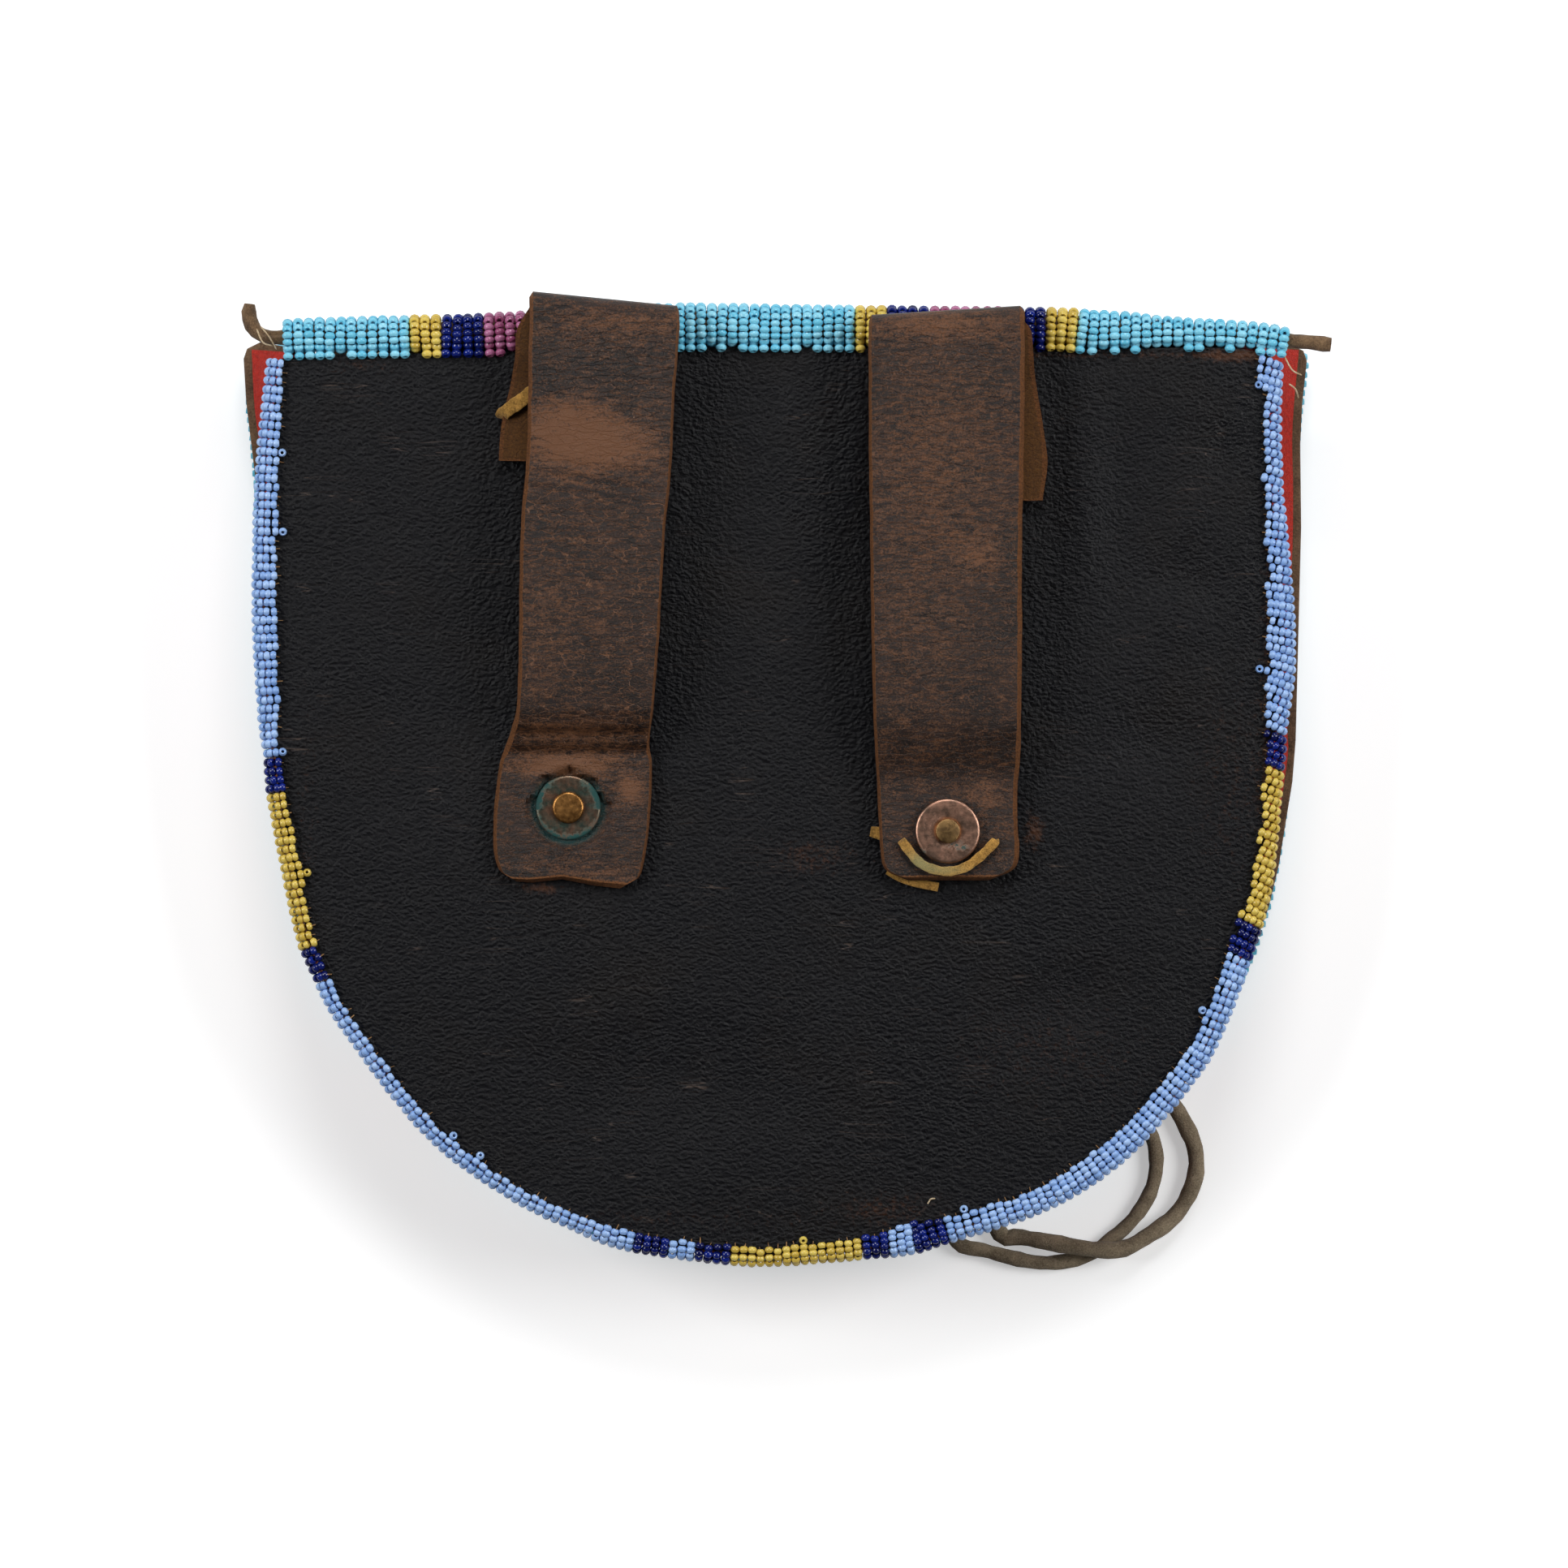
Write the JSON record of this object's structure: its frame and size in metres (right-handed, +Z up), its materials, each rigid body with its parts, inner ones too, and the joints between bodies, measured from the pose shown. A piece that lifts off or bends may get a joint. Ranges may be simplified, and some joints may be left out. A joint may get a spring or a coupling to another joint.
{
  "type": "belt pouch",
  "caption": "Round-bottomed beaded leather belt pouch lying face down: bead-edged back panel, wool gusset, hinged flap, rolled bead top and riveted strap belt loops",
  "frame": {"origin": "middle of the footprint, on the surface that the pouch lies on, face down", "axes": "+X across the pouch, along the top fold; +Y towards the top fold; +Z up, away from the front"},
  "size_m": [0.2064, 0.1844, 0.0347],
  "materials": {
    "black_leather": "fine-grained black leather, scuffed and soft",
    "brown_strap_leather": "dark brown strap leather, worn to tan, raw edges",
    "brown_hide": "brown tanned hide, matt",
    "grey_buckskin": "grey-tan buckskin, matt and soiled",
    "yellow_buckskin": "yellow smoked buckskin, matt",
    "red_wool": "red fulled wool cloth",
    "copper": "worn copper with green corrosion",
    "turquoise_beads": "opaque glossy turquoise glass beads",
    "blue_beads": "opaque glossy light blue glass beads",
    "navy_beads": "glossy dark blue glass beads",
    "yellow_beads": "opaque glossy yellow glass beads",
    "pink_beads": "opaque glossy rose pink glass beads"
  },
  "bodies": {
    "pouch": {"back_panel": "black_leather", "edging_01_blue": "blue_beads", "edging_02_navy": "navy_beads", "edging_03_yellow": "yellow_beads", "edging_04_navy": "navy_beads", "edging_05_blue": "blue_beads", "edging_06_navy": "navy_beads", "edging_07_blue": "blue_beads", "edging_08_navy": "navy_beads", "edging_09_yellow": "yellow_beads", "edging_10_navy": "navy_beads", "edging_11_blue": "blue_beads", "edging_12_navy": "navy_beads", "edging_13_blue": "blue_beads", "edging_14_navy": "navy_beads", "edging_15_yellow": "yellow_beads", "edging_16_navy": "navy_beads", "edging_17_blue": "blue_beads", "front_beadwork": "turquoise_beads", "front_panel": "brown_hide", "gusset": "red_wool", "left_belt_loop": "brown_strap_leather", "left_burr": "copper", "left_lace": "yellow_buckskin", "left_rivet": "copper", "right_belt_loop": "brown_strap_leather", "right_burr": "copper", "right_lace": "yellow_buckskin", "right_rivet": "copper", "roll_01_turquoise": "turquoise_beads", "roll_02_yellow": "yellow_beads", "roll_03_navy": "navy_beads", "roll_04_pink": "pink_beads", "roll_05_navy": "navy_beads", "roll_06_yellow": "yellow_beads", "roll_07_turquoise": "turquoise_beads", "roll_08_yellow": "yellow_beads", "roll_09_navy": "navy_beads", "roll_10_pink": "pink_beads", "roll_11_navy": "navy_beads", "roll_12_yellow": "yellow_beads", "roll_13_turquoise": "turquoise_beads", "roll_core": "brown_hide", "tie_knot": "grey_buckskin", "tie_thong_a": "grey_buckskin", "tie_thong_b": "grey_buckskin"},
    "flap": {"flap": "brown_hide", "flap_beadwork": "turquoise_beads", "flap_top_beadwork": "turquoise_beads"}
  },
  "joints": [
    {"name": "flap_hinge", "type": "hinge", "parent": "pouch", "child": "flap", "pos_m": [-0.00002, 0.08641, 0.02345], "axis": [1, 0, 0], "range_deg": [0, 115]}
  ]
}
